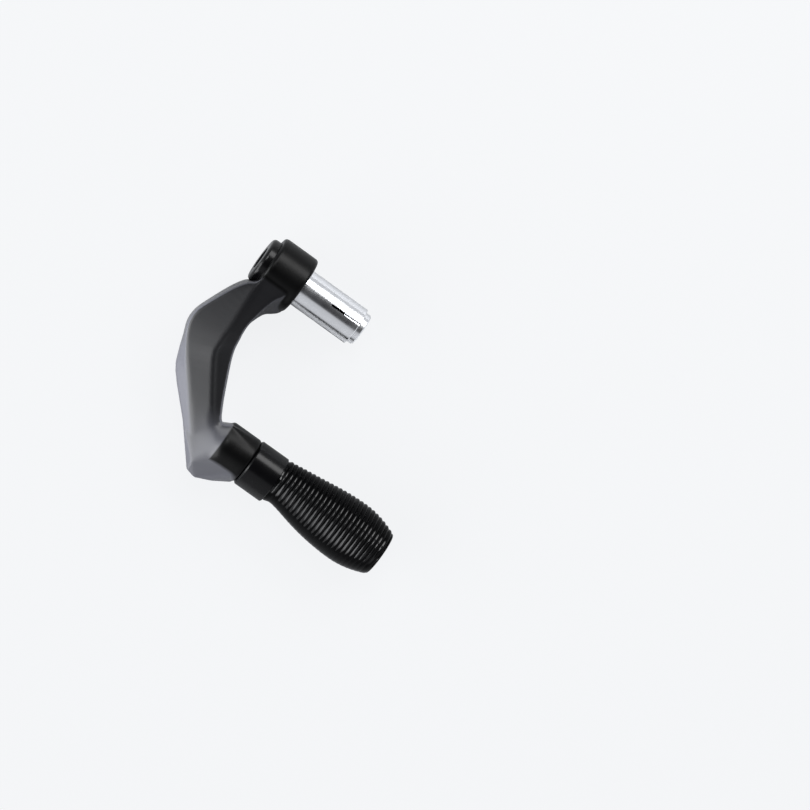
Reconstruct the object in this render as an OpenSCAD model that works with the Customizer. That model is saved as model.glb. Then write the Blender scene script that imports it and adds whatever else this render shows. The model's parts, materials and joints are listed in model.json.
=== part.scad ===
// Brake lever guard: a cast arm on an expanding bar plug, with a ribbed slider at its front end.
// X runs along the bar, outboard positive. Y points forward, past the lever. Z is up.
// The origin lies on the bar's axis, in the plane where the bar's end meets the arm's eye.

/* [Bar plug] */
// Outside radius of the plug, a slide fit in an 18 mm tube
plug_r = 8.9; // [8.5:0.1:9.2]
// Length of the plain ring next to the eye
ring_len = 2.7; // [2.2:0.1:4]
// Length of the slit sleeve
sleeve_len = 27.3; // [25:0.1:34]
// Wall of the slit sleeve
sleeve_wall = 2.0; // [1.8:0.1:2.4]
// Number of slits in the sleeve
slit_count = 4; // [3:1:6]
// Width of each slit
slit_w = 1.1; // [0.8:0.1:1.4]
// Length of each slit from the free end
slit_len = 15.2; // [12:0.1:19]
// How far the cone nut stands out of the sleeve
nut_proud = 2.9; // [2:0.1:4]
// Length of the cone nut's taper inside the sleeve
nut_taper_len = 8; // [7:0.1:10]
// How much the taper narrows the cone nut's radius
nut_taper = 1.3; // [1:0.1:1.6]

/* [Clamp bolt] */
// Thread radius of the clamp bolt
clamp_thread_r = 3.0; // [2.8:0.1:3.2]
// How far the clamp bolt's tip stays back from the cone nut's face
clamp_back = 3.3; // [2:0.1:5]
// Radius of the clamp bolt's head
clamp_head_r = 5.0; // [4.6:0.1:5.1]
// Height of the clamp bolt's head
clamp_head_h = 6.0; // [5:0.1:6.6]
// Width across flats of the clamp bolt's socket
clamp_hex = 5.0; // [4:0.1:5.4]
// Thickness of the clamp bolt's lock washer
clamp_washer_t = 1.6; // [1.2:0.1:2]

/* [Eye and end cap] */
// Outside radius of the arm's eye
eye_r = 13.8; // [13.3:0.1:15]
// Width of the arm's eye along the bar
eye_w = 17.8; // [16.5:0.1:20]
// Radius of the bore through the eye
eye_bore_r = 7.5; // [7.1:0.1:8]
// Edge rounding of the eye
eye_edge = 1.5; // [0.8:0.1:2]
// Outside radius of the end cap
cap_r = 10.6; // [9.8:0.1:11.2]
// How far the end cap stands out of the eye
cap_proud = 4.0; // [3.4:0.1:5.4]
// Edge rounding of the end cap
cap_edge = 1.7; // [1:0.1:2.4]
// Floor left under the clamp bolt's washer
cap_floor = 3.0; // [2.2:0.1:3.6]

/* [Arm] */
// Distance from the bar's axis forward to the slider's axis
reach = 75.9; // [68:0.1:84]
// Width of the arm up and down at the eye
arm_w = 26.0; // [24.6:0.1:26.6]
// Width of the soft step beside the arm's ridge
step_w = 1.7; // [1.2:0.1:2.2]
// Rounding of the arm's facet edges
facet_edge = 1.2; // [0.6:0.1:1.6]

/* [Slider boss] */
// Outside radius of the boss that carries the slider
boss_r = 10.9; // [10.4:0.1:11.4]
// Distance from the bar's end plane inboard to the boss's shoulder on the arm
boss_root = 10.6; // [9.6:0.1:11.6]
// Length of the boss past its shoulder
boss_len = 15.4; // [14:0.1:18]
// Edge rounding of the boss
boss_edge = 1.3; // [0.8:0.1:1.8]
// Depth of the threaded hole past the slider bolt's tip
hole_spare = 2.6; // [1.5:0.1:3.5]

/* [Slider] */
// Radius of the plain collar of the slider's core
collar_r = 11.2; // [10.8:0.1:11.8]
// Length of the plain collar
collar_len = 14.3; // [10:0.1:18]
// Chamfer on the collar's edges
collar_edge = 0.7; // [0.3:0.1:1]
// Radius of the core's tube inside the ribbed slider
core_r = 7.0; // [6.4:0.1:7.4]
// Length of the ribbed slider
slider_len = 57; // [52:0.5:66]
// Radius of the ribbed slider at its neck
neck_r = 10.3; // [9.8:0.1:10.8]
// Distance of the neck from the collar
neck_at = 4; // [3:0.5:6]
// Largest radius of the ribbed slider
belly_r = 14.6; // [13.4:0.1:15.4]
// Distance of the largest radius from the slider's free end
belly_back = 18; // [14:0.5:22]
// How far the slider's middle line sets back from its axis along the belly
belly_set = 0.5; // [0:0.1:0.8]
// How far the slider's middle line sets back from its axis at the neck
neck_set = 1.2; // [0.5:0.1:1.4]
// Radius of the ribbed slider at its free end
nose_r = 10.5; // [10.2:0.1:11]
// Edge rounding of the free end
nose_edge = 0.9; // [0.5:0.1:1.2]
// Number of ribs
rib_count = 25; // [18:1:28]
// Depth of the grooves between the ribs
rib_depth = 0.6; // [0.3:0.05:0.7]

/* [Slider bolt] */
// Thread radius of the slider bolt
bolt_thread_r = 4.0; // [3.8:0.1:4.2]
// Length of the slider bolt's thread in the boss
bolt_grip = 18.4; // [16:0.1:20]
// Radius of the slider bolt's head
bolt_head_r = 6.5; // [6:0.1:6.8]
// Height of the slider bolt's head
bolt_head_h = 8.0; // [7:0.1:8.6]
// Width across flats of the slider bolt's socket
bolt_hex = 6.0; // [5:0.1:6.6]
// Depth of the slider bolt's head below the free end
bolt_recess = 1.7; // [1:0.1:3]
// Radius of the plain washer
washer_r = 8.3; // [7.6:0.1:8.4]
// Thickness of the plain washer
washer_t = 1.6; // [1.2:0.1:2]
// Thickness of the slider bolt's lock washer
lock_washer_t = 2.0; // [1.6:0.1:2.4]

/* [Clearances] */
// Radial clearance where one turned part sits in another
fit_gap = 0.1; // [0.05:0.01:0.15]
// Radial clearance of a bolt's shank in a plain hole
shank_gap = 0.3; // [0.2:0.05:0.4]
// Radial clearance of a thread in its nut or boss
thread_gap = 0.03; // [0.02:0.01:0.05]

/* [Hidden] */
$fn = 96;
black_paint = [0.09, 0.09, 0.1];
black_anodised = [0.13, 0.13, 0.15];
black_polymer = [0.16, 0.16, 0.17];
zinc_steel = [0.78, 0.8, 0.83];
dark_steel = [0.3, 0.3, 0.32];
arc_steps = 5;

// Places along the bar's axis
cap_face_x = eye_w + cap_proud;
clamp_recess = 0.8;
clamp_seat_x = cap_face_x - clamp_recess - clamp_head_h - clamp_washer_t;
cap_spigot_x = clamp_seat_x - cap_floor;
clamp_head_x = clamp_seat_x + clamp_washer_t;
ring_spigot_len = 4;
sleeve_x = -ring_len;
sleeve_end_x = sleeve_x - sleeve_len;
sleeve_bore_r = plug_r - sleeve_wall;
nut_mouth_r = sleeve_bore_r + 0.7;
nut_cone_x = sleeve_end_x + nut_taper_len;
clamp_len = clamp_head_x - sleeve_end_x + nut_proud - clamp_back;
seat_cone_len = 3;

// Places along the slider's axis
boss_face_x = -boss_root - boss_len;
collar_end_x = boss_face_x - collar_len;
slider_end_x = collar_end_x - slider_len;
bolt_head_x = slider_end_x + bolt_recess + bolt_head_h;
bolt_len = boss_face_x + bolt_grip - bolt_head_x;
washer_x = bolt_head_x + lock_washer_t;
core_end_x = washer_x + washer_t;
rib_margin = 1.0;
collar_set = 0.3;
groove_w = 0.3;
rib_pitch = (slider_len - 2 * rib_margin) / rib_count;

// Points on an arc, angles in degrees
function arc(c, r, a0, a1, n = arc_steps) =
    [for (i = [0:n]) c + r * [cos(a0 + (a1 - a0) * i / n), sin(a0 + (a1 - a0) * i / n)]];
function mix(a, b, t) = a + (b - a) * t;
function unit(v) = v / norm(v);

// A body turned about the X axis, from a profile of [radius, x] points
module turned(profile) {
    rotate([0, 90, 0]) rotate_extrude() polygon(profile);
}

// A rod or a hole along X from x0 to x1
module rod(r, x0, x1) {
    translate([min(x0, x1), 0, 0]) rotate([0, 90, 0]) cylinder(r = r, h = abs(x1 - x0));
}

// A hexagonal socket along X, measured across its flats
module hex_socket(flats, x0, x1) {
    translate([min(x0, x1), 0, 0]) rotate([0, 90, 0]) cylinder(d = flats / cos(30), h = abs(x1 - x0), $fn = 6);
}

// Profile of a disc from x0 up to x1, with its two outer edges rounded by e0 and e1
function disc_profile(r, x0, x1, e0, e1) = concat(
    [[0, x0]], arc([r - e0, x0 + e0], e0, -90, 0), arc([r - e1, x1 - e1], e1, 0, 90), [[0, x1]]);

// The arm's sections
// Each row: place along the line from the eye's middle to the boss's shoulder, then offsets from that
// line of the keel, the outer crease, the ridge, the inner edge and the inner side. A third number is
// the height as a share of the arm's half width there.
arm_sections = [
    [0.00, [8.3, -3.0], [8.1, -2.9, 0.80], [8.3, -3.0, 0.96], [-7.7, -3.0, 0.98], [-7.7, -3.0]],
    [0.10, [10.8, 0.3], [10.4, 0.3, 0.88], [10.5, -0.5, 1.03], [-2.5, -0.5, 1.00], [-6.7, 5.0]],
    [0.15, [15.6, 0.3], [15.2, 0.4, 0.86], [11.3, -0.8, 1.07], [0.7, -0.5, 1.02], [-3.5, 5.4]],
    [0.22, [20.7, 1.0], [20.3, 1.1, 0.76], [12.3, 0.0, 1.08], [3.7, 0.0, 1.03], [1.7, 3.2]],
    [0.33, [27.2, 2.4], [26.8, 2.5, 0.60], [13.9, 1.5, 1.07], [7.4, 1.1, 1.04], [6.6, 2.3]],
    [0.40, [31.1, 4.1], [30.7, 4.1, 0.50], [14.9, 2.6, 1.06], [8.7, 1.0, 1.03], [7.8, 0.9]],
    [0.45, [32.2, 6.4], [31.7, 6.3, 0.47], [15.7, 2.5, 1.05], [9.2, -0.2, 1.00], [8.4, -0.2]],
    [0.50, [31.0, 8.6], [30.4, 8.2, 0.48], [16.4, 2.2, 1.03], [9.8, -1.4, 0.97], [9.0, -1.4]],
    [0.58, [30.1, 10.1], [27.7, 8.3, 0.52], [17.4, 1.1, 1.00], [10.5, -3.6, 0.92], [9.7, -3.8]],
    [0.70, [28.4, 9.2], [24.1, 6.1, 0.54], [15.1, -0.3, 0.94], [9.6, -4.5, 0.85], [8.8, -5.1]],
    [0.90, [18.4, 8.4], [15.2, 6.2, 0.41], [7.8, 0.8, 0.77], [4.5, -1.7, 0.69], [3.8, -2.2]],
    [1.00, [12.7, 9.0], [10.2, 7.1, 0.29], [3.6, 2.5, 0.58], [-1.4, -1.5, 0.55], [-1.9, -1.5]]
];
// Sections set between the given ones along smooth curves
section_steps = 3;
function curve(a, b, c, d, u) =
    (2 * b + (c - a) * u + (2 * a - 5 * b + 4 * c - d) * u * u + (3 * b - a - 3 * c + d) * u * u * u) / 2;
function finer(rows) = let (last = len(rows) - 1) concat(
    [for (i = [0:last - 1], s = [0:section_steps - 1])
        curve(rows[max(i - 1, 0)], rows[i], rows[i + 1], rows[min(i + 2, last)], s / section_steps)],
    [rows[last]]);
function arm_line(t) = [mix(eye_w / 2, -boss_root, t), mix(0, reach, t)];
function arm_half(t) = mix(arm_w / 2, boss_r, t);
function on_arm(row, k) = let (p = arm_line(row[0]) + [row[k][0], row[k][1]])
    [p[0], p[1], len(row[k]) > 2 ? row[k][2] * arm_half(row[0]) : 0];

// The corners of one section, upper half, with the swell of the outer facet and the soft step
// between the ridge and the inner edge
function section_corners(row) = let (
    keel = on_arm(row, 1), crease = on_arm(row, 2), ridge = on_arm(row, 3),
    edge = on_arm(row, 4), inner = on_arm(row, 5),
    along = unit([edge[0] - ridge[0], edge[1] - ridge[1]]),
    step = [ridge[0] + along[0] * step_w, ridge[1] + along[1] * step_w, edge[2]]
) [keel, crease, ridge, step, edge, inner];
function flip(p) = [p[0], p[1], -p[2]];
function section_ring(row) = let (c = section_corners(row), n = len(c))
    concat(c, [for (i = [n - 2:-1:1]) flip(c[i])]);

// Each corner gives way to a short curve that starts and ends on the two edges beside it
edge_steps = 2;
function bend(p, a, b) = let (
    ra = min(facet_edge, norm(a - p) * 0.4), rb = min(facet_edge, norm(b - p) * 0.4),
    s = p + unit(a - p) * ra, e = p + unit(b - p) * rb
) [for (i = [0:edge_steps]) let (t = i / edge_steps) mix(mix(s, p, t), mix(p, e, t), t)];
function soft_ring(ring) = let (n = len(ring))
    [for (i = [0:n - 1]) each bend(ring[i], ring[(i + n - 1) % n], ring[(i + 1) % n])];

// A solid skinned over rings that have equally many points, its ends closed by fans
function middle(ring) = [for (a = [0:2]) [for (p = ring) p[a]] * [for (p = ring) 1] / len(ring)];
module skin(rings) {
    n = len(rings[0]);
    m = len(rings);
    polyhedron(
        points = concat([for (ring = rings) each ring], [middle(rings[0]), middle(rings[m - 1])]),
        faces = concat(
            [for (i = [0:n - 1]) [m * n, (i + 1) % n, i]],
            [for (k = [0:m - 2], i = [0:n - 1]) each [
                [k * n + i, (k + 1) * n + (i + 1) % n, (k + 1) * n + i],
                [k * n + i, k * n + (i + 1) % n, (k + 1) * n + (i + 1) % n]]],
            [for (i = [0:n - 1]) [m * n + 1, (m - 1) * n + i, (m - 1) * n + (i + 1) % n]]),
        convexity = 8);
}

// The block at the arm's front end, outside which nothing of it lies: its corners from the boss's
// shoulder, with their heights as shares of the boss's radius
block_corners = [
    [18.2, 1.3, 0], [14.4, 1.6, 0.22], [7.7, -3.9, 0.61], [0.2, -8.4, 0.70],
    [5.2, 13.6, 0.26], [4.4, 17.6, 0], [0.2, 18.6, 0], [-6.7, 15.6, 0], [-13.8, 11.2, 0]
];
block_edge = 0.8;
shoulder_step = 1.0;
shoulder_len = 1.2;
module block() {
    hull() {
        for (c = block_corners, side = [-1, 1])
            translate([c[0] - boss_root, c[1] + reach, side * c[2] * boss_r])
                sphere(r = block_edge, $fn = 16);
        translate([0, reach, 0]) rod(boss_r - shoulder_step, -boss_root, -boss_root - shoulder_len, $fn = 48);
        translate([0, reach, 0]) rod(boss_r - fit_gap, boss_face_x + 3, boss_face_x + 2, $fn = 48);
    }
}

module guard_arm() {
    color(black_paint)
    difference() {
        union() {
            turned(disc_profile(eye_r, 0, eye_w, eye_edge, eye_edge));
            translate([0, reach, 0])
                turned(disc_profile(boss_r, boss_face_x, -boss_root, boss_edge, boss_edge));
            skin([for (row = finer(arm_sections)) soft_ring(section_ring(row))]);
            block();
        }
        // Spot face for the end cap and bore for the two spigots
        rod(cap_r + shank_gap, eye_w, eye_w + 12);
        rod(eye_bore_r, -1, eye_w + 1);
        // Threaded hole for the slider bolt
        translate([0, reach, 0]) rod(bolt_thread_r + thread_gap, boss_face_x - 1, boss_face_x + bolt_grip + hole_spare);
    }
}

module end_cap() {
    spigot_r = eye_bore_r - fit_gap;
    color(black_anodised)
    difference() {
        turned(concat(
            [[0, cap_spigot_x], [spigot_r - 0.5, cap_spigot_x], [spigot_r, cap_spigot_x + 0.5], [spigot_r, eye_w]],
            [[cap_r, eye_w]],
            arc([cap_r - cap_edge, cap_face_x - cap_edge], cap_edge, 0, 90),
            [[0, cap_face_x]]));
        rod(clamp_head_r + shank_gap, clamp_seat_x, cap_face_x + 1);
        rod(clamp_thread_r + shank_gap, cap_spigot_x - 1, cap_face_x);
    }
}

// A socket head bolt along X with its head's seat at x0, pointing inboard (-1) or outboard (1)
module socket_bolt(thread_r, length, head_r, head_h, flats, x0, way) {
    tip = x0 + way * length;
    head_end = x0 - way * head_h;
    chamfer = 0.5;
    difference() {
        turned([
            [0, tip], [thread_r - chamfer, tip], [thread_r, tip - way * chamfer], [thread_r, x0],
            [head_r, x0], [head_r, head_end + way * chamfer], [head_r - chamfer, head_end], [0, head_end]]);
        hex_socket(flats, head_end + way * head_h * 0.5, head_end - way);
    }
}

module clamp_bolt() {
    color(dark_steel)
    socket_bolt(clamp_thread_r, clamp_len, clamp_head_r, clamp_head_h, clamp_hex, clamp_head_x, -1);
}

// A split ring washer from x0 to x1
module split_washer(hole_r, r, x0, x1) {
    split = 1.0;
    difference() {
        rod(r, x0, x1);
        rod(hole_r, x0 - 1, x1 + 1);
        translate([x0 - 1, -split / 2, 0]) cube([x1 - x0 + 2, split, r + 1]);
    }
}

module clamp_lock_washer() {
    color(zinc_steel)
    split_washer(clamp_thread_r + shank_gap, clamp_head_r - 0.2, clamp_seat_x, clamp_head_x);
}

module base_ring() {
    spigot_r = eye_bore_r - fit_gap;
    cone_r = sleeve_bore_r - fit_gap;
    color(zinc_steel)
    difference() {
        turned([
            [0, sleeve_x - seat_cone_len], [cone_r - 1, sleeve_x - seat_cone_len], [cone_r, sleeve_x],
            [plug_r, sleeve_x], [plug_r, 0], [spigot_r, 0], [spigot_r, ring_spigot_len - 0.5],
            [spigot_r - 0.5, ring_spigot_len], [0, ring_spigot_len]]);
        rod(clamp_thread_r + shank_gap, sleeve_x - seat_cone_len - 1, ring_spigot_len + 1);
    }
}

module expander_sleeve() {
    mouth_x = sleeve_end_x + (nut_mouth_r - sleeve_bore_r) * nut_taper_len / nut_taper;
    color(zinc_steel)
    difference() {
        turned([
            [sleeve_bore_r, sleeve_x], [plug_r, sleeve_x], [plug_r, sleeve_end_x + 0.3],
            [plug_r - 0.3, sleeve_end_x], [nut_mouth_r, sleeve_end_x], [sleeve_bore_r, mouth_x]]);
        for (i = [0:slit_count - 1]) rotate([10 + 360 * i / slit_count, 0, 0]) slit();
    }
}

// One slit with a round blind end, open at the sleeve's free end
module slit() {
    round_x = sleeve_end_x + slit_len - slit_w / 2;
    translate([sleeve_end_x - 1, -slit_w / 2, 0]) cube([round_x - sleeve_end_x + 1, slit_w, plug_r + 1]);
    translate([round_x, 0, 0]) cylinder(r = slit_w / 2, h = plug_r + 1);
}

module cone_nut() {
    slope = nut_taper / nut_taper_len;
    big_r = nut_mouth_r - fit_gap / 2;
    key_w = slit_w - 2 * fit_gap;
    color(zinc_steel)
    difference() {
        union() {
            turned([
                [0, nut_cone_x], [big_r - nut_taper, nut_cone_x], [big_r, sleeve_end_x],
                [big_r, sleeve_end_x - nut_proud + 0.6], [big_r - 0.6, sleeve_end_x - nut_proud],
                [0, sleeve_end_x - nut_proud]]);
            // The key that keeps the nut from turning lies in the lowest slit
            rotate([10, 0, 0]) mirror([0, 0, 1])
                translate([sleeve_end_x, -key_w / 2, 0]) cube([nut_taper_len * 0.6, key_w, plug_r - 0.5]);
        }
        rod(clamp_thread_r + thread_gap, nut_cone_x + 1, sleeve_end_x - nut_proud - 1);
    }
}

module slider_core() {
    color(black_anodised)
    translate([0, reach, 0])
    difference() {
        turned([
            [0, boss_face_x], [collar_r - collar_edge, boss_face_x], [collar_r, boss_face_x - collar_edge],
            [collar_r, collar_end_x + collar_edge / 2], [collar_r - collar_edge / 2, collar_end_x],
            [core_r, collar_end_x], [core_r, core_end_x], [0, core_end_x]]);
        rod(bolt_thread_r + shank_gap, boss_face_x + 1, core_end_x - 1);
    }
}

// Radius of the slider's belly at a distance from the collar: a swelling from the neck,
// then a dome to the free end
function belly(d) = let (top = slider_len - belly_back)
    d < neck_at ? neck_r + (collar_r - 0.5 - neck_r) * pow(1 - d / neck_at, 2)
    : d < top ? neck_r + (belly_r - neck_r) * pow(sin(90 * (d - neck_at) / (top - neck_at)), 1.15)
    : belly_r - (belly_r - nose_r) * pow((d - top) / belly_back, 2);

// How far the belly's middle lies behind the slider's axis: most at the neck, so that the slider
// bulges on the side where the lever comes up and is hollow in front
function setback(d) = let (deep = neck_at + 1, u = (d - deep) / deep)
    d < deep ? mix(neck_set, collar_set, u * u)
    : belly_set + (neck_set - belly_set) * exp(-u * u / 4);

// One rib, turned about its own middle: a round crown that stops short of the grooves beside it
module rib(k) {
    d0 = rib_margin + k * rib_pitch;
    start = groove_w / 2;
    span = rib_pitch - groove_w;
    translate([0, -setback(d0 + rib_pitch / 2), 0])
    turned(concat(
        [[0, collar_end_x - d0 - start]],
        [for (u = [0, 0.12, 0.3, 0.5, 0.7, 0.88, 1]) let (d = d0 + start + u * span)
            [belly(d) - rib_depth * 0.7 * pow(abs(2 * u - 1), 3), collar_end_x - d]],
        [[0, collar_end_x - d0 - start - span]]));
}

// The floor of the groove before rib k, narrow enough to lie within both its neighbours
module groove(k) {
    d = rib_margin + k * rib_pitch;
    shift = abs(setback(d + rib_pitch / 2) - setback(d - rib_pitch / 2)) / 2;
    translate([0, -setback(d), 0])
        rod(belly(d) - rib_depth - shift, collar_end_x - d + groove_w, collar_end_x - d - groove_w);
}

module ribbed_slider() {
    washer_bore_r = washer_r + fit_gap;
    last = slider_len - rib_margin;
    color(black_polymer)
    translate([0, reach, 0])
    difference() {
        union() {
            translate([0, -setback(0), 0])
                rod(neck_r - rib_depth / 2, collar_end_x, collar_end_x - rib_margin - groove_w);
            for (k = [0:rib_count - 1]) rib(k);
            for (k = [1:rib_count - 1]) groove(k);
            translate([0, -setback(last), 0])
                turned([
                    [0, collar_end_x - last + groove_w], [belly(last) - rib_depth, collar_end_x - last + groove_w],
                    [belly(last) - rib_depth, collar_end_x - last],
                    [nose_r, slider_end_x + nose_edge * 0.8],
                    [nose_r - nose_edge * 0.3, slider_end_x + nose_edge * 0.25],
                    [nose_r - nose_edge, slider_end_x], [0, slider_end_x]]);
        }
        rod(core_r + fit_gap, collar_end_x + 1, core_end_x - 1);
        rod(washer_bore_r, core_end_x, slider_end_x - 1);
    }
}

module slider_bolt() {
    color(dark_steel)
    translate([0, reach, 0])
    socket_bolt(bolt_thread_r, bolt_len, bolt_head_r, bolt_head_h, bolt_hex, bolt_head_x, 1);
}

module slider_washer() {
    color(zinc_steel)
    translate([0, reach, 0])
    difference() {
        rod(washer_r, washer_x, core_end_x);
        rod(bolt_thread_r + shank_gap, washer_x - 1, core_end_x + 1);
    }
}

module slider_lock_washer() {
    color(zinc_steel)
    translate([0, reach, 0])
    split_washer(bolt_thread_r + shank_gap, bolt_head_r, bolt_head_x, washer_x);
}

guard_arm();
end_cap();
clamp_bolt();
clamp_lock_washer();
base_ring();
expander_sleeve();
cone_nut();
slider_core();
ribbed_slider();
slider_bolt();
slider_washer();
slider_lock_washer();
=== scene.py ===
"""Brake lever guard: the looks of its pieces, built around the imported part."""
import math
import json

import bpy
import bmesh
from mathutils import Matrix, Vector


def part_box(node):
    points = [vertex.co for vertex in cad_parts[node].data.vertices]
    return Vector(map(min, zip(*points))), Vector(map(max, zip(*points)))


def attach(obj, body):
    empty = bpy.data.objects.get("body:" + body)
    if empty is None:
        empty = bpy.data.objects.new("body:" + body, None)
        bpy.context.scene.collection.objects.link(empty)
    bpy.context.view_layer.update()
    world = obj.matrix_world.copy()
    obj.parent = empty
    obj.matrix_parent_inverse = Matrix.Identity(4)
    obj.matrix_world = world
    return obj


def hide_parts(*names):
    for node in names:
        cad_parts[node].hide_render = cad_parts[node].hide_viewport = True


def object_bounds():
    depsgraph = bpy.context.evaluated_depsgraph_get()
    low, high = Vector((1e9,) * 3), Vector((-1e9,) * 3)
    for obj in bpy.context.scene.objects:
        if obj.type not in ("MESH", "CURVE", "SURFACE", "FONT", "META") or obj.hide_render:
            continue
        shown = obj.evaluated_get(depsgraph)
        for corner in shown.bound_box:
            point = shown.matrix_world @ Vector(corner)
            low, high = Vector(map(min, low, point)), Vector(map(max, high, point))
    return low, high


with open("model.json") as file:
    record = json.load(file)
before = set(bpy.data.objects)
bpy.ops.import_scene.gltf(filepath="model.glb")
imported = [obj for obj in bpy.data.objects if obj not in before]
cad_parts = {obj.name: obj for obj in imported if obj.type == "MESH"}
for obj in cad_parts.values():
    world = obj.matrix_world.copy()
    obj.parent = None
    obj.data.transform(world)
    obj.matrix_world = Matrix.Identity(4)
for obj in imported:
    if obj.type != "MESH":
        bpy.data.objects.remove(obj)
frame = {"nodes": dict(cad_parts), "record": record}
CAD_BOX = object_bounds()

bl_info = {
    "name": "Brake lever guard",
    "version": (1, 0, 0),
    "blender": (4, 5, 0),
    "location": "View3D > Sidebar > Lever guard",
    "description": "Builds the finishes, the ribbed slider and the photo stage of a brake lever guard",
    "category": "Add Mesh",
}

BODY = "root"
MM = 0.001


# Property groups

class ArmSettings(bpy.types.PropertyGroup):
    """Sizes and colours of the cast arm."""
    colour: bpy.props.FloatVectorProperty(
        name="Paint", description="Colour of the arm's satin paint", subtype="COLOR", size=3,
        min=0, max=1, default=(0.0065, 0.0066, 0.0076))
    voxel: bpy.props.FloatProperty(
        name="Mesh size", description="Size of the faces that the arm's skin is rebuilt with",
        subtype="DISTANCE", unit="LENGTH", default=0.42 * MM)
    soften: bpy.props.IntProperty(
        name="Edge softness", description="Rounds of smoothing that soften the cast edges", default=9, min=0)
    blend: bpy.props.IntProperty(
        name="Block softness", description="Rounds of smoothing that blend the block into limb and boss",
        default=44, min=0)


class SliderSettings(bpy.types.PropertyGroup):
    """Sizes and colours of the ribbed slider, its collar and the end cap."""
    polymer: bpy.props.FloatVectorProperty(
        name="Polymer", description="Colour of the ribbed slider", subtype="COLOR", size=3,
        min=0, max=1, default=(0.0018, 0.0018, 0.002))
    ribs: bpy.props.IntProperty(name="Ribs", description="Number of ribs along the slider", default=25, min=1)
    groove: bpy.props.FloatProperty(
        name="Groove depth", description="Depth of the grooves between the ribs",
        subtype="DISTANCE", unit="LENGTH", default=0.62 * MM, precision=5)
    neck: bpy.props.FloatProperty(
        name="Neck radius", description="Radius of the slider at its neck",
        subtype="DISTANCE", unit="LENGTH", default=10.3 * MM, precision=5)
    belly: bpy.props.FloatProperty(
        name="Belly radius", description="Radius of the slider where it is thickest",
        subtype="DISTANCE", unit="LENGTH", default=14.6 * MM, precision=5)
    nose: bpy.props.FloatProperty(
        name="Nose radius", description="Radius of the slider at its free end",
        subtype="DISTANCE", unit="LENGTH", default=10.5 * MM, precision=5)
    anodised: bpy.props.FloatVectorProperty(
        name="Anodising", description="Colour of the turned black pieces", subtype="COLOR", size=3,
        min=0, max=1, default=(0.0015, 0.0015, 0.0018))


class PlugSettings(bpy.types.PropertyGroup):
    """Colours of the plug and the fasteners."""
    zinc: bpy.props.FloatVectorProperty(
        name="Zinc", description="Colour of the bright plated pieces", subtype="COLOR", size=3,
        min=0, max=1, default=(0.93, 0.94, 0.965))
    dark: bpy.props.FloatVectorProperty(
        name="Black oxide", description="Colour of the socket head bolts", subtype="COLOR", size=3,
        min=0, max=1, default=(0.035, 0.035, 0.038))


class StageSettings(bpy.types.PropertyGroup):
    """The floor, the lamps and the camera."""
    floor: bpy.props.FloatVectorProperty(
        name="Floor", description="Colour of the pale floor", subtype="COLOR", size=3,
        min=0, max=1, default=(0.925, 0.935, 0.95))
    distance: bpy.props.FloatProperty(
        name="Camera distance", description="Distance from the camera to the point it looks at",
        subtype="DISTANCE", unit="LENGTH", default=2.5)
    pixel: bpy.props.FloatProperty(
        name="Pixel", description="Size on the object of one pixel of an 810 pixel wide picture",
        subtype="DISTANCE", unit="LENGTH", default=0.44 * MM, precision=6)


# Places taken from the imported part

def node_box(name):
    """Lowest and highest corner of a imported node, in metres."""
    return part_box(name)


def slider_places():
    """The slider's axis in Y and its free end, its collar end and its core's end in X."""
    low, high = node_box("ribbed_slider")
    core_low, core_high = node_box("slider_core")
    return (core_low.y + core_high.y) / 2, low.x, high.x, core_low.x


# Node trees

def add(tree, kind, inputs=None, **attributes):
    """A node of a tree with its attributes and unlinked inputs set."""
    node = tree.nodes.new(kind)
    for key, value in attributes.items():
        setattr(node, key, value)
    for key, value in (inputs or {}).items():
        node.inputs[key].default_value = value
    return node


def group_shell(name, inputs, outputs):
    """An empty shader group with named number sockets: its tree, its input node and its output node."""
    tree = bpy.data.node_groups.new(name, "ShaderNodeTree")
    for label, value in inputs.items():
        socket = tree.interface.new_socket(label, in_out="INPUT", socket_type="NodeSocketFloat")
        socket.default_value = value
    for label in outputs:
        tree.interface.new_socket(label, in_out="OUTPUT", socket_type="NodeSocketFloat")
    return tree, tree.nodes.new("NodeGroupInput"), tree.nodes.new("NodeGroupOutput")


class Sum:
    """A number inside a node tree; arithmetic on it adds Math nodes."""

    def __init__(self, tree, socket):
        self.tree = tree
        self.socket = socket

    def chain(self, operation, *others):
        """A Math node fed with this number and others."""
        node = self.tree.nodes.new("ShaderNodeMath")
        node.operation = operation
        for place, value in enumerate((self, *others)):
            self.feed(node.inputs[place], value)
        return Sum(self.tree, node.outputs[0])

    def feed(self, socket, value):
        """Gives a socket a number of the tree by a link, or a plain number as its value."""
        if isinstance(value, Sum):
            self.tree.links.new(value.socket, socket)
        else:
            socket.default_value = value

    def __add__(self, other):
        return self.chain("ADD", other)

    def __sub__(self, other):
        return self.chain("SUBTRACT", other)

    def __mul__(self, other):
        return self.chain("MULTIPLY", other)

    def __truediv__(self, other):
        return self.chain("DIVIDE", other)

    def __pow__(self, other):
        return self.chain("POWER", other)

    def within_one(self):
        """The number kept between 0 and 1."""
        return self.chain("MAXIMUM", 0.0).chain("MINIMUM", 1.0)

    def ease(self, start, end):
        """0 at the start, 1 at the end and an even curve between them."""
        node = add(self.tree, "ShaderNodeMapRange", interpolation_type="SMOOTHSTEP")
        for label, value in (("Value", self), ("From Min", start), ("From Max", end)):
            self.feed(node.inputs[label], value)
        return Sum(self.tree, node.outputs[0])


def parts_of(tree, socket):
    """The X, Y and Z of a vector socket, as numbers."""
    split = add(tree, "ShaderNodeSeparateXYZ")
    tree.links.new(socket, split.inputs[0])
    return [Sum(tree, out) for out in split.outputs]


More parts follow.
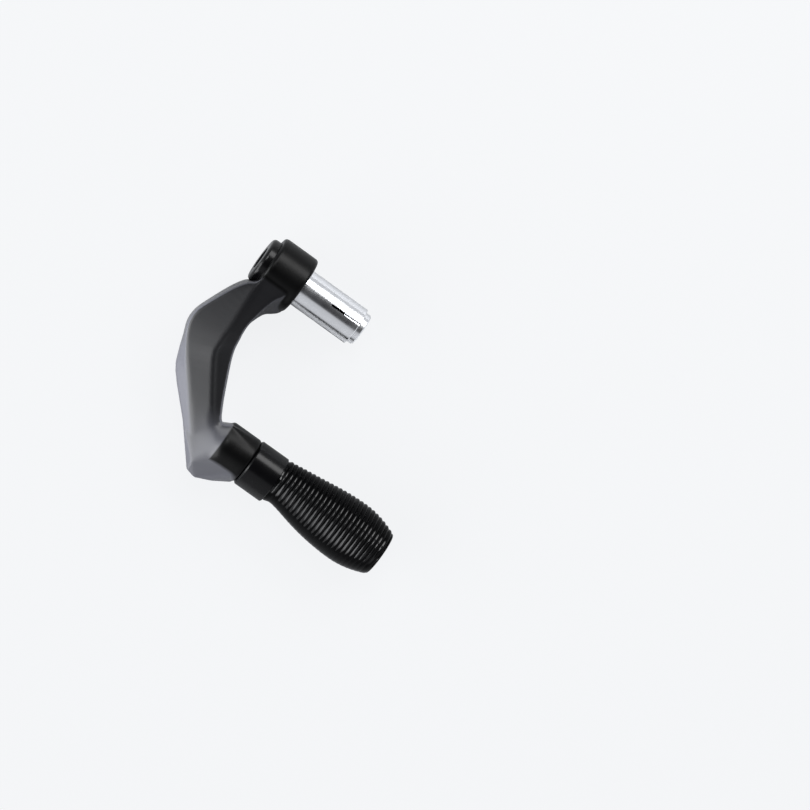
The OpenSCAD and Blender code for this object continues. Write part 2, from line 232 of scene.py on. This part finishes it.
def material(name):
    """A material with only a Principled BSDF and its output: the material, its tree and the shader."""
    made = bpy.data.materials.new(name)
    made.use_nodes = True
    tree = made.node_tree
    shader = next(n for n in tree.nodes if n.type == "BSDF_PRINCIPLED")
    return made, tree, shader


def dress(obj, paint):
    """Gives an object one material."""
    obj.data.materials.clear()
    obj.data.materials.append(paint)


# Shader groups

def grain_group():
    """Shader group: a fine, even grain as a height, with a slow drift for the roughness."""
    tree, given, out = group_shell(
        "fine_grain", {"Grain size": 0.6 * MM, "Drift size": 12 * MM}, ("Height", "Drift"))
    place = add(tree, "ShaderNodeTexCoord")
    for label, socket, detail in (("Grain size", "Height", 2.0), ("Drift size", "Drift", 3.0)):
        noise = add(tree, "ShaderNodeTexNoise", {"Detail": detail, "Roughness": 0.55})
        scale = Sum(tree, given.outputs[label]) ** -1.0
        tree.links.new(place.outputs["Object"], noise.inputs["Vector"])
        tree.links.new(scale.socket, noise.inputs["Scale"])
        tree.links.new(noise.outputs[0], out.inputs[socket])
    return tree


def turning_group():
    """Shader group: fine lathe lines around the X axis as a height, and slow patches for the roughness."""
    tree, given, out = group_shell(
        "turning_marks", {"Line width": 0.3 * MM, "Smear": 0.02}, ("Height", "Drift"))
    place = add(tree, "ShaderNodeTexCoord")
    stretch = add(tree, "ShaderNodeVectorMath", operation="MULTIPLY")
    squeeze = add(tree, "ShaderNodeCombineXYZ", {0: 1.0})
    lines = add(tree, "ShaderNodeTexNoise", {"Detail": 3.0, "Roughness": 0.7})
    patches = add(tree, "ShaderNodeTexNoise", {"Scale": 90.0, "Detail": 2.0})
    scale = Sum(tree, given.outputs["Line width"]) ** -1.0
    for across in (1, 2):
        tree.links.new(given.outputs["Smear"], squeeze.inputs[across])
    tree.links.new(place.outputs["Object"], stretch.inputs[0])
    tree.links.new(squeeze.outputs[0], stretch.inputs[1])
    tree.links.new(scale.socket, lines.inputs["Scale"])
    tree.links.new(stretch.outputs[0], lines.inputs["Vector"])
    tree.links.new(place.outputs["Object"], patches.inputs["Vector"])
    tree.links.new(lines.outputs[0], out.inputs["Height"])
    tree.links.new(patches.outputs[0], out.inputs["Drift"])
    return tree


def ends_group():
    """Shader group: 1 on the round eye and the round boss of the arm, 0 on its limb."""
    tree, given, out = group_shell(
        "round_ends",
        {"Eye radius": 0.0, "Eye end": 0.0, "Boss radius": 0.0, "Boss axis": 0.0, "Boss end": 0.0,
         "Blend": 0.6 * MM},
        ("Mask",))
    place = add(tree, "ShaderNodeTexCoord")
    x, y, z = parts_of(tree, place.outputs["Object"])
    eye_r, eye_end, boss_r, axis, boss_end, blend = [Sum(tree, given.outputs[k]) for k in range(6)]
    in_eye = ((eye_r - (y * y + z * z) ** 0.5) / blend).chain("MINIMUM", (eye_end - x) / blend)
    across = y - axis
    in_boss = ((boss_r - (across * across + z * z) ** 0.5) / blend).chain("MINIMUM", (boss_end - x) / blend)
    mask = in_eye.chain("MAXIMUM", in_boss).within_one()
    tree.links.new(mask.socket, out.inputs[0])
    return tree


def light_mask_group():
    """Shader group: masks of the limb's root near the eye, where the coat is thinner and less sheen is
    painted on the slopes, of the block at the bend's far end, which gets a painted highlight, and of the
    slopes, from the surface's normal, which get a painted sheen."""
    tree, given, out = group_shell(
        "painted_light_masks",
        {"Root start": 10 * MM, "Root end": 45 * MM, "Block start": 11 * MM, "Block end": -9 * MM,
         "Bend start": 62 * MM, "Bend end": 78 * MM, "Slant": 0.12},
        ("Root", "Block", "Slope"))
    place = add(tree, "ShaderNodeTexCoord")
    x, y, z = parts_of(tree, place.outputs["Object"])
    root_start, root_end, block_start, block_end, bend_start, bend_end, slant = [
        Sum(tree, given.outputs[k]) for k in range(7)]
    normal_x, normal_y, normal_z = parts_of(tree, place.outputs["Normal"])
    masks = {
        "Root": y.ease(root_end, root_start),
        "Block": x.ease(block_start, block_end) * y.ease(bend_start, bend_end),
        "Slope": (normal_z.chain("ABSOLUTE") + normal_x * slant) * -1.0 + 1.0,
    }
    for label, mask in masks.items():
        tree.links.new(mask.socket, out.inputs[label])
    return tree


def shared_group(name, maker):
    """A shader group by name, made on its first use."""
    return bpy.data.node_groups.get(name) or maker()


# Finishes

def finish(name, group, look, sizes=None):
    """A procedural material: a group's height as bump and its drift around the roughness.

    look holds colour, rough as lowest and highest, relief, and where needed metal, gloss, and steep
    with fade: the share of the gloss that is left at a flat angle, and where that starts and ends."""
    made, tree, shader = material(name)
    texture = add(tree, "ShaderNodeGroup", node_tree=group)
    for label, value in (sizes or {}).items():
        texture.inputs[label].default_value = value
    shader.inputs["Base Color"].default_value = (*look["colour"], 1)
    shader.inputs["Metallic"].default_value = look.get("metal", 0.0)
    gloss = look.get("gloss", 0.5)
    shader.inputs["Specular IOR Level"].default_value = gloss
    if "steep" in look:
        start, end = look["fade"]
        angle = add(tree, "ShaderNodeLayerWeight", {"Blend": 0.5})
        fade = add(
            tree, "ShaderNodeMapRange",
            {"From Min": start, "From Max": end, "To Min": gloss, "To Max": gloss * look["steep"]})
        tree.links.new(angle.outputs["Facing"], fade.inputs["Value"])
        tree.links.new(fade.outputs[0], shader.inputs["Specular IOR Level"])
    low, high = look["rough"]
    spread = add(
        tree, "ShaderNodeMapRange", {"From Min": 0.3, "From Max": 0.7, "To Min": low, "To Max": high})
    bump = add(tree, "ShaderNodeBump", {"Strength": look["relief"], "Distance": 0.05 * MM})
    tree.links.new(texture.outputs["Drift"], spread.inputs["Value"])
    tree.links.new(spread.outputs[0], shader.inputs["Roughness"])
    tree.links.new(texture.outputs["Height"], bump.inputs["Height"])
    tree.links.new(bump.outputs[0], shader.inputs["Normal"])
    return made


# How many times lighter than its colour the arm's paint is: on level faces and what the block adds there,
# on slopes and what the root and the block add there, and on the round ends; then the share that upright
# faces lose. The lightening on the slopes is a painted sheen, on the block a painted highlight, and the
# loss on upright faces is painted shade.
LEVEL_TIMES = 1.0
LEVEL_BLOCK_HIGHLIGHT = 9.5
SLOPE_SHEEN = 20.0
SLOPE_ROOT_SHEEN = -13.0
SLOPE_BLOCK_SHEEN = -5.0
ENDS_TIMES = 0.03
UPRIGHT_SHADE = 0.65

# The slopes, as 0 on level faces and 1 on upright ones, where the painted sheen sets in and where it wanes
SLOPE_IN = (0.1, 0.3)
SLOPE_OUT = (0.5, 0.85)

# The gloss over the limb, what the root takes off it, and its roughness
LIMB_COAT = 0.62
ROOT_COAT = -0.56
COAT_ROUGH = 0.35

# The arm's round ends: how far each reaches from its axis, the eye beyond the arm's half thickness, how
# far the boss's middle is set back, and where each stops in X
EYE_REACH = 0.8 * MM
EYE_END = 18.4 * MM
BOSS_REACH = 12.9 * MM
BOSS_SHIFT = 1.9 * MM
BOSS_END = -10.4 * MM


def satin_paint_painted_sheen(colour):
    """Satin black paint over a cast surface, with a painted sheen that lightens the limb's slopes, a painted
    highlight that lightens the block and painted shade on upright faces; its round ends are glossier and
    blacker."""
    made = finish(
        "satin_paint_painted_sheen", shared_group("fine_grain", grain_group),
        {"colour": colour, "rough": (0.33, 0.38), "relief": 0.12, "gloss": 0.17})
    tree = made.node_tree
    shader = next(n for n in tree.nodes if n.type == "BSDF_PRINCIPLED")
    low, _ = node_box("guard_arm")
    axis = slider_places()[0]
    places = {
        "Eye radius": EYE_REACH - low.z, "Eye end": EYE_END, "Boss radius": BOSS_REACH,
        "Boss axis": axis - BOSS_SHIFT, "Boss end": BOSS_END,
    }
    ends = add(tree, "ShaderNodeGroup", places, node_tree=shared_group("round_ends", ends_group))
    light_masks = add(tree, "ShaderNodeGroup", node_tree=shared_group("painted_light_masks", light_mask_group))
    root, block, slope = [Sum(tree, light_masks.outputs[k]) for k in range(3)]
    # Painted light: the colour is lightened on the slopes as a painted sheen, less near the root, and on the
    # block as a painted highlight.
    level_painted_light = block * LEVEL_BLOCK_HIGHLIGHT + LEVEL_TIMES
    slope_painted_light = root * SLOPE_ROOT_SHEEN + block * SLOPE_BLOCK_SHEEN + SLOPE_SHEEN
    sheen_mix = add(tree, "ShaderNodeMix", data_type="RGBA")
    for socket, times in ((6, level_painted_light), (7, slope_painted_light)):
        sheen_colour = add(tree, "ShaderNodeVectorMath", {0: colour}, operation="SCALE")
        tree.links.new(times.socket, sheen_colour.inputs["Scale"])
        tree.links.new(sheen_colour.outputs[0], sheen_mix.inputs[socket])
    # Upright faces lose part of the painted sheen, as painted shade.
    upright = slope.ease(*SLOPE_OUT) * -UPRIGHT_SHADE + 1.0
    tree.links.new((slope.ease(*SLOPE_IN) * upright).socket, sheen_mix.inputs[0])
    whole = add(tree, "ShaderNodeMix", {7: (*[ENDS_TIMES * c for c in colour], 1)}, data_type="RGBA")
    tree.links.new(ends.outputs[0], whole.inputs[0])
    tree.links.new(sheen_mix.outputs[2], whole.inputs[6])
    tree.links.new(whole.outputs[2], shader.inputs["Base Color"])
    limb = Sum(tree, ends.outputs[0]) * -1.0 + 1.0
    tree.links.new((limb * (root * ROOT_COAT + LIMB_COAT)).socket, shader.inputs["Coat Weight"])
    shader.inputs["Coat Roughness"].default_value = COAT_ROUGH
    return made


def turned_black(colour):
    """Turned aluminium, anodised black."""
    return finish(
        "turned_black", shared_group("turning_marks", turning_group),
        {"colour": colour, "rough": (0.2, 0.25), "gloss": 0.26, "relief": 0.05, "steep": 0.12,
         "fade": (0.45, 0.85)})


def moulded_black(colour):
    """Moulded black polymer of the ribbed slider."""
    return finish(
        "moulded_black", shared_group("fine_grain", grain_group),
        {"colour": colour, "rough": (0.12, 0.16), "gloss": 0.42, "relief": 0.02, "steep": 0.12,
         "fade": (0.07, 0.2)},
        {"Grain size": 0.4 * MM})


def zinc_plate(colour):
    """Bright zinc plate over turned steel."""
    return finish(
        "bright_zinc", shared_group("turning_marks", turning_group),
        {"colour": colour, "metal": 1.0, "rough": (0.17, 0.25), "relief": 0.06})


def black_oxide(colour):
    """Black oxide on socket head bolts."""
    return finish(
        "oiled_black", shared_group("fine_grain", grain_group),
        {"colour": colour, "metal": 0.6, "rough": (0.3, 0.4), "relief": 0.08}, {"Grain size": 0.3 * MM})


def bake_modifiers(context, obj):
    """Turns an object with modifiers into a plain mesh object of the same name."""
    context.view_layer.update()
    graph = context.evaluated_depsgraph_get()
    mesh = bpy.data.meshes.new_from_object(obj.evaluated_get(graph))
    mesh.name = obj.name
    obj.modifiers.clear()
    obj.data = mesh
    return obj


# Cast arm

class GUARD_OT_arm(bpy.types.Operator):
    """Makes the cast arm with softened edges"""
    bl_idname = "guard.arm"
    bl_label = "Cast arm"

    def execute(self, context):
        settings = context.scene.guard_arm
        mesh = frame["nodes"]["guard_arm"].data.copy()
        mesh.name = "cast_arm"
        shell = bmesh.new()
        shell.from_mesh(mesh)
        bmesh.ops.remove_doubles(shell, verts=shell.verts, dist=MM / 1000)
        shell.to_mesh(mesh)
        shell.free()
        arm = bpy.data.objects.new("cast_arm", mesh)
        context.scene.collection.objects.link(arm)
        remesh = arm.modifiers.new("remesh", "REMESH")
        remesh.mode = "VOXEL"
        remesh.voxel_size = settings.voxel
        remesh.adaptivity = 0.0
        smooth = arm.modifiers.new("smooth", "SMOOTH")
        smooth.factor = 0.5
        smooth.iterations = settings.soften
        arm = bake_modifiers(context, arm)
        soften_block(arm.data, settings.blend)
        arm.data.shade_smooth()
        dress(arm, satin_paint_painted_sheen(settings.colour))
        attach(arm, BODY)
        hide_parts("guard_arm")
        return {"FINISHED"}


# The block between limb and boss: its reach in X and Y, the width over which the softening fades out,
# and the half height of the outline that keeps its shape
BLOCK = ((-20.5 * MM, 12.0 * MM), (65.5 * MM, 97.0 * MM))
BLOCK_RIM = 4.0 * MM
OUTLINE_HALF = 3.0 * MM


def soften_block(mesh, rounds):
    """Blends the facets of the block between limb and boss, with its outline kept."""
    shell = bmesh.new()
    shell.from_mesh(mesh)
    weights = {}
    for vert in shell.verts:
        inside = min(min(vert.co[k] - BLOCK[k][0], BLOCK[k][1] - vert.co[k]) for k in (0, 1))
        above = abs(vert.co.z) - OUTLINE_HALF
        weight = min(inside / BLOCK_RIM, above / BLOCK_RIM, 1.0)
        if weight > 0:
            weights[vert] = weight
    for step in range(rounds):
        zone = [vert for vert, weight in weights.items() if weight > step / rounds]
        bmesh.ops.smooth_vert(
            shell, verts=zone, factor=0.5, use_axis_x=True, use_axis_y=True, use_axis_z=True)
    shell.to_mesh(mesh)
    shell.free()


# Ribbed slider: faces along a rib and around the slider, then its sizes beside those in its settings.
# A set is how far its middle lies back from the collar's axis.

RIB_STEPS = 10
AROUND = 112
MARGIN = 1.0 * MM
NECK_AT = 4.0 * MM
BELLY_BACK = 18.0 * MM
BELLY_CURVE = 1.15
NECK_SET = 1.2 * MM
BELLY_SET = 0.5 * MM
COLLAR_SET = 0.3 * MM
COLLAR_R = 10.7 * MM
WASHER_BORE = 8.4 * MM
CORE_BORE = 7.1 * MM
NOSE_EDGE = 0.9 * MM
NOSE_ROUND = ((0.8, 0.0), (0.45, 0.12), (0.2, 0.35), (0.05, 0.65), (0.0, 1.0))

# The ribs' flanks as a power of the way from crest to groove, and how the grooves fade out toward +Y:
# the cosine where that starts, the cosines it takes, and the share of the depth that goes
FLANK_POWER = 1.6
FADE_START = 0.2
FADE_WIDTH = 0.65
FADE_SHARE = 0.88


def rib_tree():
    """Geometry Nodes: a grid rolled up around the slider's axis, whose radius follows the belly and
    dips between the ribs, which fade out toward +Y."""
    tree = bpy.data.node_groups.new("ribbed_skin", "GeometryNodeTree")
    labels = ("Ribs", "Length", "Groove", "Collar radius", "Neck radius", "Belly radius", "Nose radius",
              "End", "Axis")
    for label in labels:
        kind = "NodeSocketInt" if label == "Ribs" else "NodeSocketFloat"
        tree.interface.new_socket(label, in_out="INPUT", socket_type=kind)
    tree.interface.new_socket("Material", in_out="INPUT", socket_type="NodeSocketMaterial")
    tree.interface.new_socket("Geometry", in_out="OUTPUT", socket_type="NodeSocketGeometry")
    given = tree.nodes.new("NodeGroupInput")
    ribs, length, groove, collar, neck, belly, nose, end, axis = [
        Sum(tree, given.outputs[label]) for label in labels]
    grid = add(tree, "GeometryNodeMeshGrid", {"Size X": 1.0, "Size Y": 1.0, "Vertices Y": AROUND + 1})
    tree.links.new((ribs * RIB_STEPS + 1).socket, grid.inputs["Vertices X"])
    place = tree.nodes.new("GeometryNodeInputPosition")
    grid_x, grid_y, grid_z = parts_of(tree, place.outputs[0])
    along = grid_x + 0.5
    turn = grid_y * (2 * math.pi)
    far = (length - 2 * MARGIN) * along + MARGIN
    radius = belly_radius(far, length, collar, neck, belly, nose)
    phase = (along * ribs).chain("FRACT")
    flank = (phase * 2.0 - 1.0).chain("ABSOLUTE") ** FLANK_POWER
    fade = ((turn.chain("COSINE") - FADE_START) / FADE_WIDTH).within_one()
    radius = radius - groove * flank * (fade * -FADE_SHARE + 1.0)
    back = set_back(far)
    join = tree.nodes.new("ShaderNodeCombineXYZ")
    tree.links.new((end - far).socket, join.inputs[0])
    tree.links.new((axis - back + radius * turn.chain("COSINE")).socket, join.inputs[1])
    tree.links.new((radius * turn.chain("SINE")).socket, join.inputs[2])
    roll = tree.nodes.new("GeometryNodeSetPosition")
    tree.links.new(grid.outputs["Mesh"], roll.inputs["Geometry"])
    tree.links.new(join.outputs[0], roll.inputs["Position"])
    weld = add(tree, "GeometryNodeMergeByDistance", {"Distance": MM / 1000})
    real = tree.nodes.new("GeometryNodeRealizeInstances")
    paint = tree.nodes.new("GeometryNodeSetMaterial")
    out = tree.nodes.new("NodeGroupOutput")
    tree.links.new(given.outputs["Material"], paint.inputs["Material"])
    for one, other in ((roll, weld), (weld, real), (real, paint), (paint, out)):
        tree.links.new(one.outputs[0], other.inputs[0])
    return tree


def belly_radius(far, length, collar, neck, belly, nose):
    """Radius at a distance from the collar: down to the neck, up to the belly, over the nose."""
    top = length - BELLY_BACK
    first = (far / -NECK_AT + 1.0) ** 2.0 * (collar - neck) + neck
    rise = ((far - NECK_AT) / (top - NECK_AT)).within_one()
    second = (rise * (math.pi / 2)).chain("SINE") ** BELLY_CURVE * (belly - neck) + neck
    drop = (far - top) / BELLY_BACK
    third = belly - (belly - nose) * drop * drop
    in_neck = far.chain("LESS_THAN", NECK_AT)
    in_dome = far.chain("GREATER_THAN", top)
    middle = second + (third - second) * in_dome
    return middle + (first - middle) * in_neck


def set_back(far):
    """How far the slider's middle lies back at a distance from the collar: most just past the neck."""
    deepest = NECK_AT + MM
    bow = (far / deepest - 1.0) ** 2.0
    behind = (bow / -4.0).chain("EXPONENT") * (NECK_SET - BELLY_SET) + BELLY_SET
    before = bow * (COLLAR_SET - NECK_SET) + NECK_SET
    return behind + (before - behind) * far.chain("LESS_THAN", deepest)


class GUARD_OT_slider(bpy.types.Operator):
    """Makes the ribbed slider in front of the lever"""
    bl_idname = "guard.slider"
    bl_label = "Ribbed slider"

    def execute(self, context):
        settings = context.scene.guard_slider
        axis, free, collar, core = slider_places()
        paint = moulded_black(settings.polymer)
        tree = rib_tree()
        piece = bpy.data.objects.new("ribbed_skin", bpy.data.meshes.new("ribs"))
        context.scene.collection.objects.link(piece)
        nodes = piece.modifiers.new("ribs", "NODES")
        nodes.node_group = tree
        values = {
            "Ribs": settings.ribs, "Length": collar - free, "Groove": settings.groove,
            "Collar radius": COLLAR_R, "Neck radius": settings.neck, "Belly radius": settings.belly,
            "Nose radius": settings.nose, "End": collar, "Axis": axis, "Material": paint,
        }
        for item in tree.interface.items_tree:
            if item.in_out == "INPUT":
                nodes[item.identifier] = values[item.name]
        piece = bake_modifiers(context, piece)
        close_slider(piece, settings, axis, free, collar, core)
        piece.data.shade_smooth()
        piece.data.set_sharp_from_angle(angle=math.radians(38))
        dress(piece, paint)
        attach(piece, BODY)
        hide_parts("ribbed_slider")
        return {"FINISHED"}


def close_slider(piece, settings, axis, free, collar, core):
    """Adds the nose, the washer's recess, the bore and the collar's face to the ribbed skin."""
    first, last = collar - MARGIN, free + MARGIN
    shell = bmesh.new()
    shell.from_mesh(piece.data)
    ends = {}
    for x in (last, first):
        ring = [v for v in shell.verts if abs(v.co.x - x) < MM / 10000]
        ring.sort(key=lambda v: math.atan2(v.co.z, v.co.y - axis))
        ends[x] = ring
    angles = [math.atan2(v.co.z, v.co.y - axis) for v in ends[last]]
    rows = [(free + NOSE_EDGE * a, settings.nose - NOSE_EDGE * b, BELLY_SET) for a, b in NOSE_ROUND]
    rows += [
        (free, WASHER_BORE, 0.0),
        (core, WASHER_BORE, 0.0),
        (core, CORE_BORE, 0.0),
        (collar, CORE_BORE, 0.0),
        (collar, settings.neck - settings.groove / 2, COLLAR_SET),
    ]
    rings = [ends[last]]
    for x, radius, back in rows:
        rings.append([
            shell.verts.new((x, axis - back + radius * math.cos(a), radius * math.sin(a))) for a in angles])
    rings.append(ends[first])
    for one, other in zip(rings, rings[1:]):
        for k in range(len(angles)):
            follow = (k + 1) % len(angles)
            shell.faces.new((one[k], one[follow], other[follow], other[k]))
    bmesh.ops.recalc_face_normals(shell, faces=shell.faces)
    shell.to_mesh(piece.data)
    shell.free()


# Turned and bought pieces

class GUARD_OT_turned(bpy.types.Operator):
    """Finishes the turned and bought pieces"""
    bl_idname = "guard.turned"
    bl_label = "Turned pieces"

    def execute(self, context):
        slider = context.scene.guard_slider
        plug = context.scene.guard_plug
        finishes = {
            "black_anodised": turned_black(slider.anodised),
            "black_polymer": bpy.data.materials["moulded_black"],
            "black_paint": bpy.data.materials["satin_paint_painted_sheen"],
            "zinc_steel": zinc_plate(plug.zinc),
            "dark_steel": black_oxide(plug.dark),
        }
        for part in frame["record"]["subparts"]:
            dress(frame["nodes"][part["node"]], finishes[part["material_slot"]])
        return {"FINISHED"}


# Stage. Lamps: name, direction from the object as azimuth from +X and height above the floor in degrees
# with the distance, width, height, radiance, colour

LAMPS = (
    ("side_box", (42, 20, 2.5), 3.4, 1.85, 6.0, (0.97, 0.98, 1.0)),
    ("rear_strip", (-94, 41, 0.8), 0.8, 0.36, 5.5, (1.0, 1.0, 1.0)),
    ("corner_box", (-46, 61, 1.5), 0.5, 0.42, 8.0, (0.98, 0.99, 1.0)),
)
TARGET = (-0.0678, 0.0155, 0)

# The camera's angles in degrees: turned about its view, leant outboard from straight above, nodded
CAMERA_TURN = 35.66
CAMERA_LEAN = 6.89
CAMERA_NOD = -0.15

FLOOR_HALF = 6.0
FLOOR_GAP = 0.2 * MM
# How much of the light on it the floor gives back, and how evenly lit it looks to the camera
FLOOR_SHARE = 0.6
FLOOR_EVEN = 0.92

# Where the walls end and the ceiling begins, as the ramp's places, and how the edge rises toward +Y
WALL_TOP = 0.79
CEILING_EDGE = 0.86
EDGE_RISE = 0.15
WALL_COLOUR = (0.5, 0.51, 0.53, 1)
CEILING_COLOUR = (0.03, 0.03, 0.032, 1)


class GUARD_OT_stage(bpy.types.Operator):
    """Makes the floor, the lamps, the sky and the camera"""
    bl_idname = "guard.stage"
    bl_label = "Stage"

    def execute(self, context):
        settings = context.scene.guard_stage
        low, _ = CAD_BOX
        level = low.z - FLOOR_GAP
        corners = [(x * FLOOR_HALF, y * FLOOR_HALF, level) for x, y in ((-1, -1), (1, -1), (1, 1), (-1, 1))]
        mesh = bpy.data.meshes.new("floor")
        mesh.from_pydata(corners, [], [(0, 1, 2, 3)])
        floor = bpy.data.objects.new("floor", mesh)
        context.scene.collection.objects.link(floor)
        dress(floor, floor_finish(settings.floor))
        sky(context.scene)
        target = Vector(TARGET)
        for name, place, width, height, power, tint in LAMPS:
            lamp(context.scene, name, target, place, width, height, power, tint)
        camera(context.scene, target, settings)
        context.scene.view_settings.view_transform = "Standard"
        return {"FINISHED"}


def lamp(scene, name, target, place, width, height, radiance, tint):
    """A soft box that faces the object, its strength given as radiance."""
    azimuth, up, distance = math.radians(place[0]), math.radians(place[1]), place[2]
    data = bpy.data.lights.new(name, "AREA")
    data.shape = "RECTANGLE"
    data.size = width
    data.size_y = height
    data.energy = radiance * math.pi * width * height
    data.color = tint
    obj = bpy.data.objects.new(name, data)
    scene.collection.objects.link(obj)
    back = Vector((math.cos(azimuth) * math.cos(up), math.sin(azimuth) * math.cos(up), math.sin(up)))
    obj.location = target + back * distance
    obj.rotation_mode = "QUATERNION"
    obj.rotation_quaternion = back.to_track_quat("Z", "Y")


def floor_finish(colour):
    """Pale floor that looks nearly even to the camera and keeps a faint shadow."""
    made, tree, shader = material("pale_floor")
    shader.inputs["Base Color"].default_value = (*[FLOOR_SHARE * c for c in colour], 1)
    shader.inputs["Roughness"].default_value = 0.9
    shader.inputs["Specular IOR Level"].default_value = 0.0
    glow = add(tree, "ShaderNodeEmission", {"Color": (*colour, 1), "Strength": 1.0})
    path = add(tree, "ShaderNodeLightPath")
    even = Sum(tree, path.outputs["Is Camera Ray"]) * FLOOR_EVEN
    mix = add(tree, "ShaderNodeMixShader")
    out = next(n for n in tree.nodes if n.type == "OUTPUT_MATERIAL")
    tree.links.new(even.socket, mix.inputs[0])
    tree.links.new(shader.outputs[0], mix.inputs[1])
    tree.links.new(glow.outputs[0], mix.inputs[2])
    tree.links.new(mix.outputs[0], out.inputs["Surface"])
    return made


def sky(scene):
    """Pale walls all around, higher toward +Y, and a dark ceiling."""
    world = bpy.data.worlds.new("soft_sky")
    scene.world = world
    world.use_nodes = True
    tree = world.node_tree
    background = next(n for n in tree.nodes if n.type == "BACKGROUND")
    place = add(tree, "ShaderNodeTexCoord")
    x, y, z = parts_of(tree, place.outputs["Generated"])
    ramp = add(tree, "ShaderNodeValToRGB")
    wall, ceiling = ramp.color_ramp.elements
    wall.position = WALL_TOP
    wall.color = WALL_COLOUR
    ceiling.position = CEILING_EDGE
    ceiling.color = CEILING_COLOUR
    tree.links.new((z - y * EDGE_RISE).socket, ramp.inputs[0])
    tree.links.new(ramp.outputs[0], background.inputs["Color"])
    background.inputs["Strength"].default_value = 1.0


def camera(scene, target, settings):
    """The camera looks almost straight down, from a little outboard."""
    turn, lean, nod = [math.radians(angle) for angle in (CAMERA_TURN, CAMERA_LEAN, CAMERA_NOD)]
    back = Vector((math.sin(lean) * math.cos(nod), math.sin(nod), math.cos(lean) * math.cos(nod)))
    across = Vector((math.cos(lean), 0, -math.sin(lean)))
    along = Vector((-math.sin(lean) * math.sin(nod), math.cos(nod), -math.cos(lean) * math.sin(nod)))
    right = -math.cos(turn) * across - math.sin(turn) * along
    up = math.sin(turn) * across - math.cos(turn) * along
    data = bpy.data.cameras.new("camera")
    data.sensor_width = 36
    data.lens = settings.distance / settings.pixel / 810 * data.sensor_width
    data.clip_end = 20
    obj = bpy.data.objects.new("camera", data)
    scene.collection.objects.link(obj)
    basis = Matrix((right, up, back)).transposed().to_4x4()
    obj.matrix_world = Matrix.Translation(target + back * settings.distance) @ basis
    scene.camera = obj


# Panel and registration

class GUARD_PT_panel(bpy.types.Panel):
    """Lists the makers of the lever guard"""
    bl_label = "Lever guard"
    bl_idname = "GUARD_PT_panel"
    bl_space_type = "VIEW_3D"
    bl_region_type = "UI"
    bl_category = "Lever guard"

    def draw(self, context):
        for key, kind in GROUPS.items():
            for size in kind.__annotations__:
                self.layout.prop(getattr(context.scene, key), size)
        for maker in MAKERS:
            self.layout.operator(maker.bl_idname)


MAKERS = (GUARD_OT_arm, GUARD_OT_slider, GUARD_OT_turned, GUARD_OT_stage)
GROUPS = {"guard_arm": ArmSettings, "guard_slider": SliderSettings, "guard_plug": PlugSettings,
          "guard_stage": StageSettings}


def register():
    for kind in (*GROUPS.values(), *MAKERS, GUARD_PT_panel):
        bpy.utils.register_class(kind)
    for key, kind in GROUPS.items():
        setattr(bpy.types.Scene, key, bpy.props.PointerProperty(type=kind))


def unregister():
    for key in GROUPS:
        delattr(bpy.types.Scene, key)
    for kind in (GUARD_PT_panel, *reversed(MAKERS), *reversed(GROUPS.values())):
        bpy.utils.unregister_class(kind)


def main():
    register()
    bpy.ops.guard.arm()
    bpy.ops.guard.slider()
    bpy.ops.guard.turned()
    bpy.ops.guard.stage()


if __name__ == "__main__":
    main()
